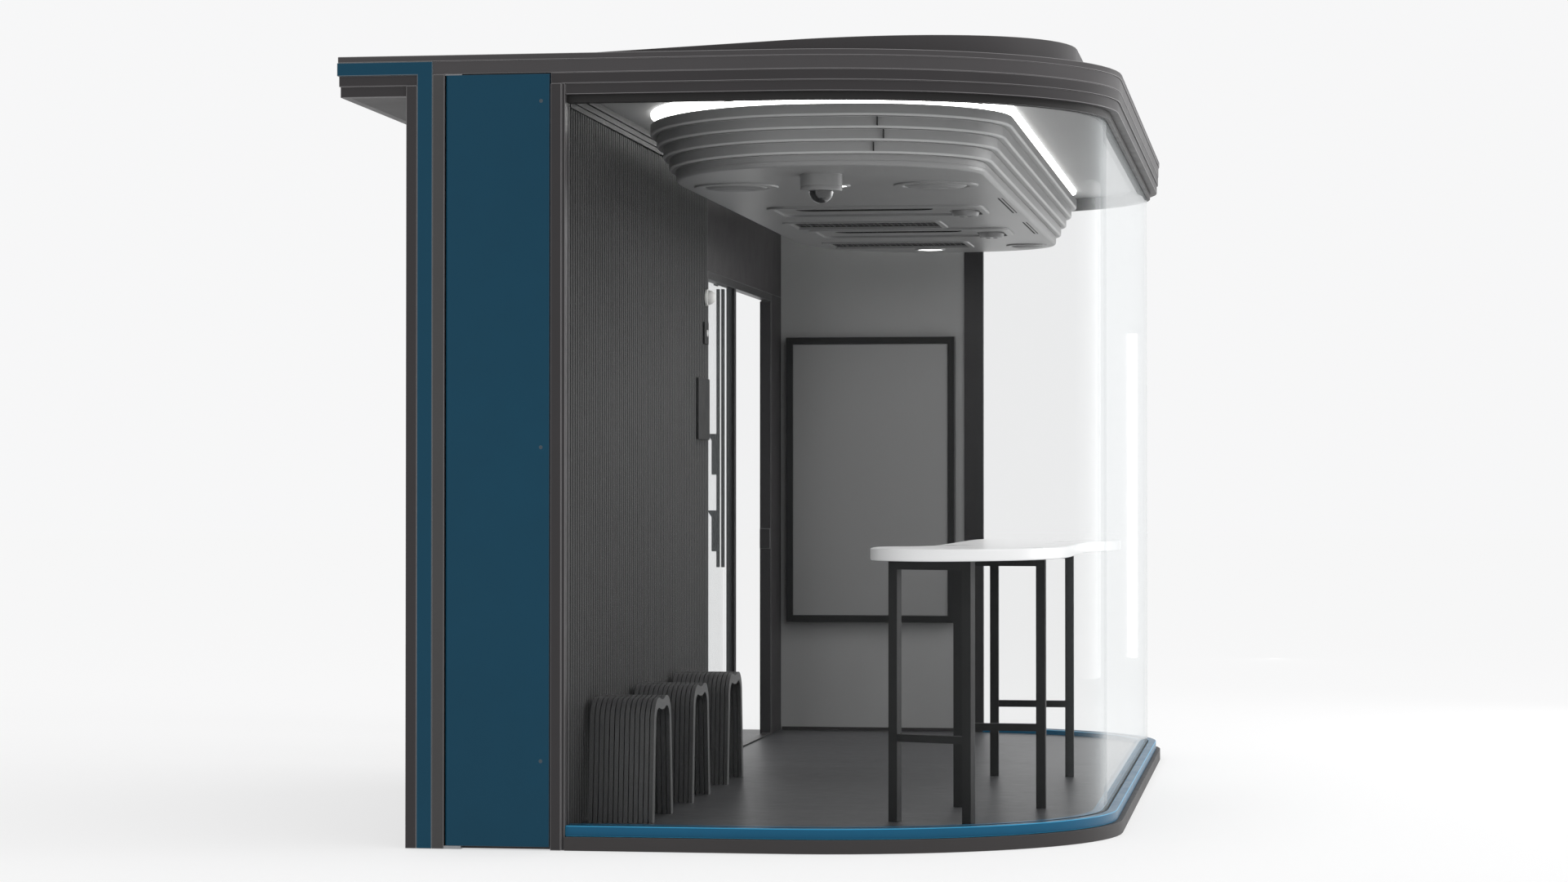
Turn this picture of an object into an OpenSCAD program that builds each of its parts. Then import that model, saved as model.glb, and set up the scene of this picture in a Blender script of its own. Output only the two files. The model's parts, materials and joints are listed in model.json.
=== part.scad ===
/* [Body] */
// Length of the cabin along the street
body_l = 5518; // [5000:2:6600]
// Depth of the cabin from the street face to the round glass side
body_w = 2541; // [2400:1:2900]
// How far the canopy reaches out over the street face
canopy_w = 259; // [220:1:320]
// Radius of the two round corners across the cabin
corner_a = 1196; // [1000:1:1250]
// Radius of the two round corners along the cabin
corner_b = 962; // [800:1:1200]

/* [Levels] */
// Height of the base slab
slab_h = 49; // [40:1:60]
// Height of the floor surface
floor_z = 65; // [60:1:75]
// Height of the blue sill's top
sill_z = 88; // [80:1:100]
// Height of the ceiling's underside
ceiling_z = 2755; // [2600:1:3300]
// Height of one roof fascia tier
tier_h = 39; // [34:1:46]
// Height of the coloured fascia band
band_h = 48; // [40:1:60]
// Thickness of the roof deck
deck_t = 22; // [18:1:30]
// Rise of the sloping roof cap over its deck
cap_rise = 100; // [60:1:130]

/* [Walls] */
// Depth of the service cabinet behind the street face
cabinet_w = 573; // [500:1:640]
// Length of the ribbed wall from the near face
cabinet_l = 3156; // [2900:1:3300]
// Thickness of the inner wall with its ribs
wall_t = 40; // [34:1:48]
// Depth of one rib
rib_d = 12; // [8:1:14]
// Distance from rib to rib
rib_pitch = 42; // [36:1:56]
// Thickness of the outer panels
skin_t = 20; // [16:1:26]
// Thickness of the cabin's glass
glass_t = 12; // [10:1:14]
// Distance from the outer face to the glass
glass_in = 60; // [54:1:66]
// Thickness of the glass gasket's lips
gasket_t = 4; // [3:1:6]

/* [Doorway] */
// Height of the door head above the ground
head_z = 2246; // [2150:1:2350]
// Width of the fixed side light
sidelight_w = 768; // [650:1:820]
// Width of the free doorway
doorway_w = 1094; // [950:1:1120]
// Width of a door frame profile
profile_w = 40; // [34:1:46]
// Thickness of the sliding leaf's glass
leaf_t = 10; // [8:1:12]

/* [Ceiling unit] */
// Width of the ceiling unit's underside
unit_w = 1234; // [1100:1:1280]
// Length of the ceiling unit's underside
unit_l = 4740; // [4400:1:4800]
// Height of one step of the ceiling unit
step_h = 44; // [38:1:50]
// Inset of one step of the ceiling unit
step_in = 25; // [18:1:30]
// Height of the light cove above the unit
cove_h = 48; // [40:1:60]

/* [Furniture] */
// Height of the bar table's top above the floor
table_h = 1017; // [950:1:1100]
// Thickness of the bar table's top
top_t = 45; // [36:1:50]
// Side of the table's square tube
tube = 36; // [30:1:42]
// Height of a stool above the floor
stool_h = 457; // [400:1:480]
// Length of a stool along the wall
stool_l = 430; // [400:1:460]
// Number of slats in a stool
slats = 13; // [11:1:13]
// Distance from stool to stool
stool_pitch = 851; // [700:1:900]

/* [Display] */
// Width of the display's frame
board_w = 866; // [760:1:900]
// Height of the display's frame
board_h = 1456; // [1300:1:1600]

/* [Hidden] */
$fn = 48;

// Plan of the body: x runs across the cabin, y along it, both measured from the middle of the footprint.
x_side = (body_w + canopy_w) / 2;
x_street = x_side - body_w;
x_canopy = -x_side;
y_end = body_l / 2;
x_wall = x_street + cabinet_w;
y_jamb = cabinet_l - y_end;
arc_n = 20;
fit = 0.3;

// Points of a round corner: quarter from angle `from` to `from + 90` about a centre, radii a and b.
function quarter(cx, cy, a, b, from) =
    a <= 0 ? [[cx, cy]]
    : [for (i = [0:arc_n]) let (t = from + 90 * i / arc_n) [cx + a * cos(t), cy + b * sin(t)]];

// A plan outline from x0 to x1 and -yh to yh, with corner radii [a, b] on the left and on the right.
function outline(x0, x1, yh, left, right) = concat(
    quarter(x1 - right[0], yh - right[1], right[0], right[1], 0),
    quarter(x0 + left[0], yh - left[1], left[0], left[1], 90),
    quarter(x0 + left[0], left[1] - yh, left[0], left[1], 180),
    quarter(x1 - right[0], right[1] - yh, right[0], right[1], 270));

// The body's plan from the line x0 to the round side, set in by d on three sides.
module plan(x0, d = 0) {
    polygon(outline(x0, x_side - d, y_end - d, [0, 0], [corner_a - d, corner_b - d]));
}

module ring(x0, d, w) {
    difference() {
        plan(x0, d);
        plan(x0 - 1, d + w);
    }
}

module slab(z0, z1) {
    translate([0, 0, z0]) linear_extrude(z1 - z0) children();
}

module block(x0, x1, y0, y1, z0, z1) {
    translate([x0, y0, z0]) cube([x1 - x0, y1 - y0, z1 - z0]);
}

module both_ends() {
    children();
    mirror([0, 1, 0]) children();
}

// Levels of the roof, from the head channel up.
low_z = ceiling_z - 31;
mid_z = low_z + tier_h;
band_z = mid_z + tier_h;
deck_z = band_z + band_h;
roof_z = deck_z + deck_t;
lip_z = low_z - 27;
band_in = 4;
mid_in = 6;
low_in = 12;
tier_w = 50;
canopy_steps = [3, 6, 10];

// The near face's upright strips, from the street corner to the glass.
x_post = x_street + 41;
x_band = x_post + 57;
x_strip = x_band + 45;
x_door = x_wall - 39;
x_glass = x_wall + 14;
face_t = 44;

// Insets behind the fascia: first what hangs under the low tier, then what lies between the upper tiers.
head_in = face_t + 2 * fit;
roof_in = mid_in + tier_w + fit;
low_w = face_t + fit - low_in;

// ---- base -------------------------------------------------------------------------------------------
anchor_x = 340;
anchor_y = 2600;
anchor_r = 9;
sill_in = 20;
sill_w = 90;

module base_slab() {
    color("dimgray") difference() {
        slab(0, slab_h) plan(x_street);
        block(x_street - 1, x_glass, -y_end - 1, -y_end + face_t, -1, slab_h + 1);
        block(x_street - 1, x_strip, y_end - face_t, y_end + 1, -1, slab_h + 1);
        translate([(x_street + x_wall) / 2, (y_jamb - y_end) / 2, -1]) for (sx = [-1, 1], sy = [-1, 1])
            translate([sx * anchor_x / 2, sy * anchor_y / 2]) cylinder(r = anchor_r, h = slab_h + 2);
    }
}

groove_w = glass_t + 2 * gasket_t;
groove_in = glass_in - gasket_t;
groove_z = slab_h + 14;

// The sides that carry glass: the near face, the round side and the far face up to its mullion.
module sill_sides() {
    translate([x_glass, -y_end]) square([2 * x_side, y_end]);
    translate([x_mullion, -1]) square([2 * x_side, y_end + 1]);
}

module base_sill() {
    color("#1f5e7c") difference() {
        slab(slab_h, sill_z) intersection() {
            ring(x_glass, sill_in, sill_w);
            sill_sides();
        }
        slab(groove_z, sill_z + 1) ring(x_glass - 1, groove_in, groove_w);
    }
}

module floor_deck() {
    color("#3a3a3c") difference() {
        slab(slab_h, floor_z) plan(x_street + skin_t + fit, sill_in + sill_w);
        block(x_street, x_wall, -y_end, y_jamb, slab_h - 1, floor_z + 1);
    }
}

// ---- glass ------------------------------------------------------------------------------------------
pane_gap = 3;
x_mullion = 473;
y_pane = y_end - corner_b;
glass_z0 = groove_z + gasket_t;
glass_z1 = ceiling_z - 12;

post_slot = 12;

module pane_ring() {
    ring(x_glass - post_slot + 2, glass_in, glass_t);
}

module glass_shoe() {
    color("#161616") slab(groove_z, sill_z) intersection() {
        difference() {
            ring(x_glass, groove_in + fit, groove_w - 2 * fit);
            ring(x_glass - 1, glass_in - fit, glass_t + 2 * fit);
        }
        sill_sides();
    }
    color("#161616") slab(groove_z, glass_z0) intersection() {
        ring(x_glass, glass_in, glass_t);
        sill_sides();
    }
}

module glass_near() {
    color("lightblue", 0.3) slab(glass_z0, glass_z1) intersection() {
        pane_ring();
        translate([x_glass - post_slot, -y_end]) square([2 * x_side, y_end - y_pane - pane_gap / 2]);
    }
}

module glass_side() {
    color("lightblue", 0.3) slab(glass_z0, glass_z1) intersection() {
        pane_ring();
        translate([0, -y_pane + pane_gap / 2]) square([2 * x_side, 2 * y_pane - pane_gap]);
    }
}

module glass_far() {
    color("lightblue", 0.3) slab(glass_z0, glass_z1) intersection() {
        pane_ring();
        translate([x_mullion + fit, y_pane + pane_gap / 2]) square([2 * x_side, y_end]);
    }
}

module glass_joints() {
    color("#202020") both_ends()
        block(x_side - glass_in - glass_t + 2, x_side - glass_in - 2, y_pane - pane_gap / 2,
            y_pane + pane_gap / 2, sill_z + 2, lip_z - 2);
}

// ---- roof -------------------------------------------------------------------------------------------
head_w = 44;

module head_channel() {
    color("#2c2b2b") difference() {
        slab(lip_z, ceiling_z) intersection() {
            ring(x_glass, head_in, head_w);
            sill_sides();
        }
        slab(lip_z - 1, glass_z1 + 4) ring(x_glass - 1, glass_in - 1, glass_t + 2);
    }
}

module ceiling_panel() {
    color("#8a8a8a") slab(ceiling_z, joist_z) plan(x_wall - wall_t, roof_in);
}

joist_w = 60;
joist_z = ceiling_z + 12;
joists = 7;

module roof_joists() {
    color("silver") slab(joist_z, deck_z) intersection() {
        plan(x_street + skin_t, roof_in);
        for (i = [0:joists - 1])
            translate([x_street, (i - (joists - 1) / 2) * (body_l - 400) / joists - joist_w / 2])
                square([body_w, joist_w]);
    }
}

module roof_deck() {
    color("#444243") slab(deck_z, roof_z) plan(x_canopy + canopy_steps[0]);
}

cap_in = 170;
cap_x0 = -880;
cap_t = 12;

module roof_cap() {
    color("#3a3839") difference() {
        cap_wedge(0);
        cap_wedge(cap_t);
    }
}

// The cap's mono-pitch form, set in by d from its skin.
module cap_wedge(d) {
    cap_x1 = x_side - cap_in;
    lift = roof_z - d;
    intersection() {
        slab(roof_z - d, roof_z + cap_rise)
            polygon(outline(cap_x0 + d, cap_x1 - d, y_end - cap_in - d, [0, 0],
                [corner_a - cap_in - d, corner_b - cap_in - d]));
        translate([0, y_end, 0]) rotate([90, 0, 0]) linear_extrude(body_l)
            polygon([[cap_x0, lift], [cap_x1, lift], [cap_x1, lift + cap_rise], [cap_x0, lift + 3]]);
    }
}

// Space that the near face's upright panels take out of the fascia tiers.
module face_cut(x0, x1) {
    block(x0, x1, -y_end - 1, -y_end + face_t + fit, 0, band_z);
}

module tier(z0, z1, d, w, canopy_d) {
    slab(z0, z1) difference() {
        plan(x_canopy + canopy_d, d);
        plan(x_canopy + canopy_d + w, d + w);
    }
}

module fascia_band() {
    color("#565555") difference() {
        tier(band_z, deck_z, band_in, tier_w, canopy_steps[0]);
        both_ends()
            block(x_canopy - 1, x_band, -y_end - 1, -y_end + corner_d + fit, band_z - 1, deck_z + 1);
    }
}

module fascia_mid() {
    color("#3b393a") difference() {
        tier(mid_z, band_z, mid_in, tier_w, canopy_steps[1]);
        face_cut(x_post - fit, x_door + 1);
        mirror([0, 1, 0]) face_cut(x_post - fit, x_strip + fit);
    }
}

module fascia_low() {
    color("#343233") difference() {
        tier(low_z, mid_z, low_in, low_w, canopy_steps[2]);
        face_cut(x_street - fit, x_glass);
        mirror([0, 1, 0]) face_cut(x_street - fit, x_strip + fit);
    }
}

soffit_t = 12;

module canopy_soffit() {
    color("#8d8c8c") slab(low_z, low_z + soffit_t) difference() {
        plan(x_canopy + canopy_steps[2] + low_w + fit, head_in);
        translate([frame_x0 - keeper_d - fit, -y_end]) square([2 * x_side, 2 * y_end]);
        translate([x_street - fit, -y_end]) square([2 * x_side, cabinet_l]);
    }
}

// ---- street end: posts, portal, service cabinet -----------------------------------------------------
module corner_posts() {
    color("#363435") both_ends()
        block(x_street, x_post - fit, -y_end, -y_end + face_t, 0, mid_z);
}

corner_d = 60;

module portal_band() {
    color("#1a3f52") both_ends() {
        block(x_post, x_band - fit, -y_end, -y_end + face_t, 0, band_z);
        block(x_canopy, x_band - fit, -y_end, -y_end + corner_d, band_z, deck_z);
    }
}

module portal_strip() {
    color("#434242") both_ends()
        block(x_band, x_strip - fit, -y_end, -y_end + face_t, 0, band_z);
}

post_back = 40;
post_step = 8;
post_front = 32;

// The post's front leg steps back beside the glass. The locks' arms turn in behind it, beside the back leg,
// which takes the near pane in a slot.
module end_post() {
    x0 = x_door + 1;
    y_front = -y_end + post_front;
    y_back = -y_end + face_t;
    color("#363434") difference() {
        block(x0, x_glass, -y_end, y_front - fit, 0, mid_z);
        block(x_wall + 1, x_glass + 1, -y_end - 1, -y_end + post_step, -1, mid_z + 1);
    }
    color("#363434") difference() {
        union() {
            block(x_door + arm_reach, x_glass, y_front, y_back, 0, mid_z);
            block(x_door + arm_reach, x_glass, y_back, y_back + post_back, slab_h, low_z);
        }
        block(x_glass - post_slot, x_glass + 1, -y_end + groove_in, -y_end + groove_in + groove_w, slab_h,
            low_z + 1);
    }
}

door_gap = 3;
door_t = 30;
door_z0 = 12;
door_z1 = band_z - 4;
lock_zs = [320, 1450, 2700];
lock_x = x_door - 34;
lock_r = 6;
arm_l = 41;
arm_t = 5;
arm_reach = lock_x + arm_l + 5 - x_door;
hinge_x = x_strip + door_gap + door_t / 2;
hinge_y = -y_end + door_t / 2;
pin_r = 5;
pin_l = 40;

// The door turns on a pin at its foot and one at its head, and its hinge edge is round about them.
module service_door() {
    color("#1a3f52") difference() {
        union() {
            block(hinge_x, x_door - door_gap, -y_end, -y_end + door_t, door_z0, door_z1);
            translate([hinge_x, hinge_y, door_z0]) cylinder(r = door_t / 2, h = door_z1 - door_z0);
        }
        for (z = [door_z0 - 1, door_z1 - pin_l])
            translate([hinge_x, hinge_y, z]) cylinder(r = pin_r + fit, h = pin_l + 1);
        for (z = lock_zs) translate([lock_x, -y_end - 1, z]) rotate([-90, 0, 0])
            cylinder(r = lock_r + fit, h = door_t + 2);
    }
}

module service_hinges() {
    color("gray") {
        block(x_strip - fit, hinge_x + 45, -y_end + 1, -y_end + face_t, 0, door_z0 - 0.5);
        translate([hinge_x, hinge_y, 0]) cylinder(r = pin_r, h = door_z0 + pin_l - 1);
        block(x_strip - fit, hinge_x + 45, -y_end + mid_in, -y_end + face_t, band_z - 3.5, band_z);
        translate([hinge_x, hinge_y, door_z1 - pin_l + 1])
            cylinder(r = pin_r, h = band_z - door_z1 + pin_l - 1);
    }
}

// Quarter-turn lock: its arm hangs down when it is open.
module cam_lock(z) {
    color("silver") translate([lock_x, -y_end, z]) rotate([-90, 0, 0]) {
        difference() {
            cylinder(r = lock_r, h = door_t + 10);
            translate([-4, -0.8, -1]) cube([8, 1.6, 3]);
        }
        translate([-lock_r, -lock_r, door_t + 4]) cube([2 * lock_r, lock_r + arm_l, arm_t]);
    }
}

module cam_lock_low() cam_lock(lock_zs[0]);
module cam_lock_mid() cam_lock(lock_zs[1]);
module cam_lock_top() cam_lock(lock_zs[2]);

street_bays = 3;

panel_gap = 3;
panel_top = low_z - 4;

module street_panels() {
    y0 = -y_end + face_t + fit;
    bay = (cabinet_l - face_t - fit + panel_gap) / street_bays;
    color("#3c3a3b") for (i = [0:street_bays - 1])
        block(x_street, x_street + skin_t, y0 + i * bay, y0 + (i + 1) * bay - panel_gap, slab_h,
            panel_top);
}

pocket_w = 50;

module cabinet_end() {
    color("#3c3a3b")
        block(x_street + skin_t + fit, x_wall - wall_t - pocket_w, y_jamb - skin_t, y_jamb, slab_h,
            panel_top);
}

module wall_backing() {
    color("#2f2e2f")
        block(x_wall - wall_t, x_wall - rib_d, -y_end + face_t + post_back + fit, y_jamb, slab_h,
            ceiling_z - fit);
}

rib_w = 30;
rib_side = 4;
rib_skin = 4;
rib_n = floor((cabinet_l - face_t - post_back - rib_w) / rib_pitch);

// Ribs of the wall from the doorway's jamb back to the near end: how far out, then how far along.
module ribbed_wall() {
    rib = [[0, 0], [1, rib_side], [1, rib_w - rib_side], [0, rib_w]];
    color("#474747") slab(slab_h, ceiling_z - fit) polygon(concat(
        [for (i = [0:rib_n - 1], p = rib)
            [x_wall - (1 - p[0]) * (rib_d - rib_skin), y_jamb - rib_skin - i * rib_pitch - p[1]]],
        [[x_wall - rib_d, y_jamb - rib_n * rib_pitch], [x_wall - rib_d, y_jamb]]));
}

// ---- equipment in the service cabinet ---------------------------------------------------------------
air_w = 340;
air_l = 900;
air_h = 760;
air_x = x_street + skin_t + 60;
air_y = -y_end + 900;
air_z = floor_z + 900;
fan_r = 230;
fan_y = air_y + air_l / 2 - 120;
fan_z = air_z + air_h / 2;
fan_well = 130;
shaft_r = 8;

module air_unit() {
    color("gainsboro") difference() {
        block(air_x, air_x + air_w, air_y, air_y + air_l, air_z, air_z + air_h);
        translate([air_x - 1, fan_y, fan_z]) rotate([0, 90, 0]) cylinder(r = fan_r + 12, h = fan_well);
    }
    color("gray") for (y = [air_y + 60, air_y + air_l - 110])
        block(air_x + air_w, x_wall - wall_t, y, y + 50, air_z, air_z + 50);
    color("gray") translate([air_x + 60, fan_y, fan_z]) rotate([0, 90, 0]) cylinder(r = shaft_r, h = 70);
}

module air_fan() {
    color("dimgray") translate([air_x + 20, fan_y, fan_z]) rotate([0, 90, 0]) difference() {
        union() {
            cylinder(r = 50, h = 60);
            for (a = [0:72:288]) rotate(a) translate([40, -45, 20]) rotate([20, 0, 0])
                cube([fan_r - 45, 90, 6]);
        }
        translate([0, 0, 30]) cylinder(r = shaft_r + fit, h = 40);
    }
}

power_t = 140;
power_y = -y_end + 300;
power_l = 400;
power_z = 1300;
power_h = 600;

module power_board() {
    color("lightgray") block(x_wall - wall_t - power_t, x_wall - wall_t, power_y, power_y + power_l, power_z,
        power_z + power_h);
}

// ---- doorway ----------------------------------------------------------------------------------------
y_post = y_jamb + sidelight_w;
y_open0 = y_post + profile_w;
y_open1 = y_open0 + doorway_w;
y_inner = y_end - glass_in - 49;
frame_x0 = x_wall - wall_t - 1;
keeper_d = 15;
head_h = 36;
leaf_x1 = frame_x0 - keeper_d;
leaf_x0 = leaf_x1 - leaf_t;
leaf_y1 = y_post - keeper_d;
leaf_y0 = leaf_y1 - doorway_w - 36;
leaf_travel = doorway_w + 26;
leaf_z0 = floor_z + 12;
leaf_z1 = head_z + 44;
track_z = head_z + 60;
track_w = 46;
track_y = y_jamb - doorway_w + sidelight_w;
track_l = y_open1 + profile_w - track_y;
jamb_w = 24;
rail_t = 8;
strike_z = 1000;
strike_h = 100;

module door_header() {
    color("#302e2f") block(frame_x0, x_wall, y_jamb + fit, y_inner, head_z + head_h, ceiling_z - fit);
}

module door_frame() {
    color("#2b2a2b") {
        block(frame_x0, x_wall, y_jamb + fit, y_open1 + profile_w, head_z, head_z + head_h);
        block(frame_x0, x_wall, y_jamb + fit, y_jamb + fit + jamb_w, floor_z, head_z);
        block(frame_x0, x_wall, y_post, y_open0, floor_z, head_z);
        block(frame_x0 - keeper_d, x_wall, y_open1, y_open1 + profile_w, floor_z, head_z);
        block(frame_x0 - keeper_d, x_wall - 4, y_open1 - 6, y_open1, strike_z, strike_z + strike_h);
        block(frame_x0, x_wall, y_jamb + fit + jamb_w, y_open1, floor_z, floor_z + rail_t);
        translate([frame_x0, track_y + track_l, track_z]) rotate([90, 0, 0]) linear_extrude(track_l)
            polygon([[0, 30], [-track_w, 30], [-track_w, -30], [-30, -30], [-30, -26], [-40, -26], [-40, 24],
                [0, 24]]);
    }
}

module sidelight_glass() {
    x0 = x_wall - (wall_t + leaf_t) / 2;
    color("lightblue", 0.3)
        block(x0, x0 + leaf_t, y_jamb + fit + jamb_w, y_post, floor_z + rail_t, head_z);
}

module leaf_glass() {
    color("lightblue", 0.3) block(leaf_x0, leaf_x1, leaf_y0, leaf_y1, leaf_z0, leaf_z1);
}

grip_zs = [1007, 1367];
grip_h = 192;
rail_y = leaf_y1 - 45;

module leaf_rail() {
    color("#262626") {
        difference() {
            block(leaf_x0 - 13, leaf_x1 + 13, rail_y, rail_y + 30, 932, head_z - 6);
            block(leaf_x0, leaf_x1, rail_y - 1, rail_y + 31, 900, head_z);
        }
        for (z = grip_zs) difference() {
            union() {
                block(leaf_x0 - 34, leaf_x0 - 13, rail_y - 10, rail_y + 40, z, z + grip_h);
                translate([leaf_x0 - 34, rail_y + 40, z + grip_h]) rotate([90, 0, 0]) linear_extrude(50)
                    polygon([[0, 0], [-20, 0], [0, -32]]);
            }
            block(leaf_x0 - 28, leaf_x0 - 18, rail_y - 4, rail_y + 34, z + 12, z + grip_h + 1);
        }
    }
}

module leaf_hanger() {
    color("gray") for (y = [leaf_y0 + 120, leaf_y1 - 170]) {
        block(leaf_x0 - 5, leaf_x0, y, y + 100, leaf_z1 - 40, track_z + 4);
        for (dy = [25, 75]) translate([leaf_x0 - 12, y + dy, track_z - 10]) rotate([0, 90, 0])
            cylinder(r = 15.5, h = 7);
    }
}

module side_panel() {
    color("#302e2f")
        block(frame_x0 - keeper_d, x_wall, y_open1 + profile_w + fit, y_inner, floor_z,
            head_z + head_h - fit);
}

mullion_w = 96;

// Far wall and mullion: what lies between two lines across the cabin, behind the fascia's inner edge.
module far_part(x0, x1, y0, z0, z1) {
    slab(z0, z1) intersection() {
        plan(x0, head_in);
        translate([x0, y0]) square([x1 - x0, y_end - y0]);
    }
}

module end_wall() {
    color("#6b6b6b")
        far_part(frame_x0 - keeper_d, x_mullion - mullion_w, y_inner + fit, slab_h, ceiling_z - fit);
}

module mullion() {
    x0 = x_mullion - mullion_w + fit;
    color("#2c2c2c") {
        far_part(x0, x_mullion, y_inner - 6, floor_z, ceiling_z - fit);
        far_part(x0, x_mullion, y_inner + fit, slab_h, floor_z);
    }
}

// ---- display ----------------------------------------------------------------------------------------
board_x = x_wall + 467;
board_z = 619;
board_t = 46;
bezel = 36;

pane_t = 4;

module display_frame() {
    x0 = board_x - board_w / 2;
    y0 = y_inner - board_t - 14;
    z1 = board_z + board_h;
    color("#222222") difference() {
        block(x0, x0 + board_w, y0, y0 + board_t, board_z, z1);
        block(x0 + bezel, x0 + board_w - bezel, y0 - 1, y0 + 10, board_z + bezel, z1 - bezel);
    }
    color("#222222") for (z = [board_z + 300, z1 - 360])
        block(board_x - 250, board_x + 250, y0 + board_t, y_inner + fit, z, z + 60);
}

module display_screen() {
    x0 = board_x - board_w / 2 + bezel + 1;
    y1 = y_inner - board_t - 4;
    color("#686868") block(x0, x0 + board_w - 2 * bezel - 2, y1 - pane_t, y1, board_z + bezel + 1,
        board_z + board_h - bezel - 1);
}

// ---- ceiling unit -----------------------------------------------------------------------------------
steps = 5;
shell_t = 32;
pan_t = 36;
unit_gap = 228;
unit_x0 = x_wall + unit_gap;
unit_z = ceiling_z - cove_h - steps * step_h;
unit_top = unit_z + steps * step_h;
unit_left = [620, 780];
unit_right = [500, 460];
neck_in = 50;
neck_t = 30;

module unit_plan(grow) {
    polygon(outline(unit_x0 - grow, unit_x0 + unit_w + grow, unit_l / 2 + grow,
        [unit_left[0] + grow, unit_left[1] + grow], [unit_right[0] + grow, unit_right[1] + grow]));
}

// Two outlets: each has a slot with a flap, an eyeball nozzle and, further along, a return grille.
slot_ys = [-330, 950];
slot_x = unit_x0 + 575;
slot_w = 580;
slot_d = 90;
grille_dy = 810;
grille_x = unit_x0 + 480;
grille_w = 648;
grille_d = 330;
nozzle_dy = 105;
nozzle_x = unit_x0 + 995;
nozzle_r = 62;
pivot_z = unit_z + 10;

module ceiling_unit() {
    flare = (steps - 1) * step_in;
    color("#7b7b7b") difference() {
        for (k = [0:steps - 1])
            slab(unit_z + k * step_h, unit_z + (k + 1) * step_h) unit_plan(k * step_in);
        slab(unit_z + pan_t, unit_z + step_h) unit_plan(-shell_t);
        for (k = [1:steps - 1])
            slab(unit_z + k * step_h - 1, unit_z + (k + 1) * step_h + 1) unit_plan(k * step_in - shell_t);
        for (y = slot_ys) {
            block(slot_x - slot_w / 2 - 4, slot_x + slot_w / 2 + 4, y - slot_d / 2 - 4, y + slot_d / 2 + 4,
                unit_z - 1, unit_z + step_h);
            block(grille_x - grille_w / 2, grille_x + grille_w / 2, y + grille_dy - grille_d / 2,
                y + grille_dy + grille_d / 2, unit_z - 1, unit_z + 24);
            translate([nozzle_x, y + nozzle_dy, unit_z - 1]) cylinder(r = nozzle_r + 6, h = step_h);
        }
    }
    color("#7b7b7b") slab(unit_top - step_h / 2, ceiling_z) difference() {
        unit_plan(flare - shell_t - neck_in);
        unit_plan(flare - shell_t - neck_in - neck_t);
    }
    color("#7b7b7b") slab(unit_top - 16, unit_top) difference() {
        unit_plan(flare - shell_t + 1);
        unit_plan(flare - shell_t - neck_in - 1);
    }
}

module cove_light() {
    color("white") slab(ceiling_z - 14, ceiling_z) difference() {
        unit_plan((steps - 1) * step_in - shell_t + 30);
        unit_plan((steps - 1) * step_in - shell_t - neck_in + 5);
    }
}

louvre_t = 8;

// A flap that turns on a rod along its far edge.
module air_louvre(y) {
    color("#3a3a3a") {
        block(slot_x - slot_w / 2, slot_x + slot_w / 2, y - slot_d / 2, y + slot_d / 2, unit_z + 2,
            unit_z + 2 + louvre_t);
        translate([slot_x - slot_w / 2 - 3.7, y + slot_d / 2 - 6, pivot_z]) rotate([0, 90, 0])
            cylinder(r = 4, h = slot_w + 7.4);
    }
}

module air_louvre_near() air_louvre(slot_ys[0]);
module air_louvre_far() air_louvre(slot_ys[1]);

grille_cells = [12, 2];
grille_bar = 6;

module air_grilles() {
    cell = [(grille_w - grille_bar) / grille_cells[0], (grille_d - grille_bar) / grille_cells[1]];
    color("#262626") for (y = slot_ys)
        translate([grille_x - grille_w / 2, y + grille_dy - grille_d / 2, unit_z]) difference() {
            translate([0, 0, 4]) cube([grille_w, grille_d, 20]);
            for (i = [0:grille_cells[0] - 1], j = [0:grille_cells[1] - 1])
                translate([grille_bar + i * cell[0], grille_bar + j * cell[1], 3])
                    cube([cell[0] - grille_bar, cell[1] - grille_bar, 13]);
        }
}

// An eyeball nozzle with two slots, carried on stubs at its sides.
module nozzle(y) {
    color("#8f8f8f") translate([nozzle_x, y + nozzle_dy, pivot_z]) {
        difference() {
            intersection() {
                sphere(r = nozzle_r);
                translate([-nozzle_r, -nozzle_r, -34]) cube([2 * nozzle_r, 2 * nozzle_r, 56]);
            }
            for (dx = [-26, 6]) translate([dx, -24, -40]) cube([20, 48, 24]);
        }
        for (sx = [-1, 1]) translate([sx * (nozzle_r + 1.85), 0, 0]) rotate([0, 90, 0])
            cylinder(r = 5, h = 7.7, center = true);
    }
}

module nozzle_near() nozzle(slot_ys[0]);
module nozzle_far() nozzle(slot_ys[1]);

camera_x = unit_x0 + 618;
camera_y = -2020;
camera_r = 80;
camera_h = 62;
ball_r = 46;

module camera_base() {
    color("#858585") translate([camera_x, camera_y, unit_z - camera_h]) difference() {
        cylinder(r = camera_r, h = camera_h);
        sphere(r = ball_r + 1);
    }
}

// The ball turns about an upright axis, with its lens to one side.
module camera_ball() {
    color("#2a2a2a") translate([camera_x, camera_y, unit_z - camera_h]) difference() {
        sphere(r = ball_r);
        translate([0, -ball_r - 8, -14]) rotate([-90, 0, 0]) cylinder(r = 11, h = 16);
    }
}

module downlights() {
    color("white") for (p = [[595, -1557], [600, 2110]])
        translate([unit_x0 + p[0], p[1], unit_z - 6]) cylinder(r = 75, h = 6);
}

module speakers() {
    color("#8d8d8d") for (p = [[219, -1557, 166], [1003, -1534, 166], [1093, 1882, 98]])
        translate([unit_x0 + p[0], p[1], unit_z - 7]) difference() {
            cylinder(r = p[2], h = 7);
            translate([0, 0, -1]) cylinder(r = 0.72 * p[2], h = 4);
        }
}

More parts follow.
